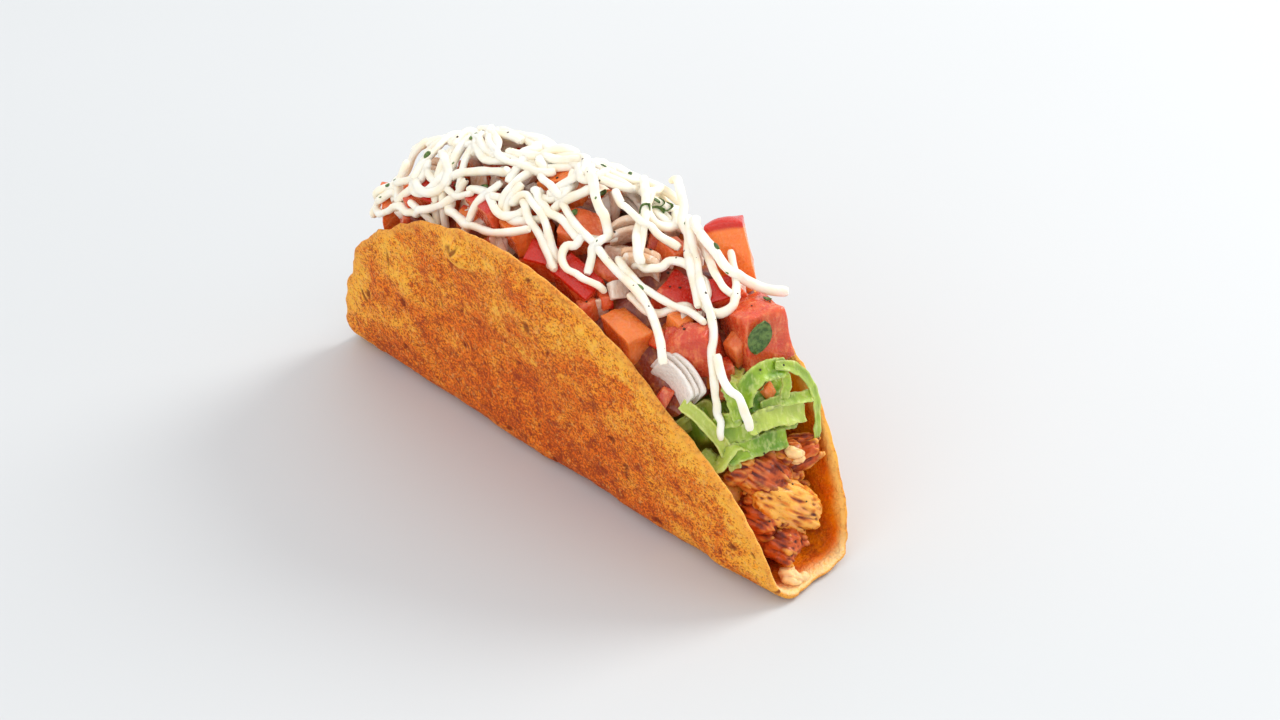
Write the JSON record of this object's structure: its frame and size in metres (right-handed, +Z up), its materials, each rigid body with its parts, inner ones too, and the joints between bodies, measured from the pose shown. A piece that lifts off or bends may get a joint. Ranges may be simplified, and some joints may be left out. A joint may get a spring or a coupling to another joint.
{
  "type": "taco",
  "caption": "Folded soft-fried tortilla filled with shredded chicken, lettuce, tomato salsa and grated cheese.",
  "frame": {"origin": "on the table under the middle of the taco, at the bottom centre of its box", "axes": "+X along the fold towards the mouth end that shows most, +Y towards the far wall, +Z up"},
  "size_m": [0.1528, 0.0479, 0.0764],
  "materials": {
    "tortilla": "seasoned, fried flour tortilla, golden orange with toasted speckles, dull with a little oil",
    "chicken": "shredded chicken in a thin red-brown sauce, wet",
    "lettuce": "fresh shredded lettuce, soft sheen",
    "salsa": "fine chopped tomato, onion and herb, wet",
    "tomato": "diced tomato, wet flesh and glossy skin",
    "onion": "diced white onion, moist and slightly clear",
    "cheese": "grated white cheese, soft satin"
  },
  "bodies": {
    "root": {"tortilla_shell": "tortilla", "chicken_filling": "chicken", "chicken_piece_1": "chicken", "chicken_piece_2": "chicken", "chicken_piece_3": "chicken", "chicken_piece_4": "chicken", "chicken_piece_5": "chicken", "chicken_piece_6": "chicken", "chicken_piece_7": "chicken", "chicken_piece_8": "chicken", "lettuce_bed": "lettuce", "salsa_bed": "salsa", "tomato_dice_1": "tomato", "tomato_dice_2": "tomato", "tomato_dice_3": "tomato", "tomato_dice_4": "tomato", "tomato_dice_5": "tomato", "tomato_dice_6": "tomato", "tomato_dice_7": "tomato", "tomato_dice_8": "tomato", "tomato_dice_9": "tomato", "tomato_dice_10": "tomato", "tomato_dice_11": "tomato", "tomato_dice_12": "tomato", "tomato_dice_13": "tomato", "tomato_dice_14": "tomato", "tomato_dice_15": "tomato", "onion_dice_1": "onion", "onion_dice_2": "onion", "onion_dice_3": "onion", "onion_dice_4": "onion", "onion_dice_5": "onion", "cheese_heap": "cheese"}
  },
  "joints": []
}
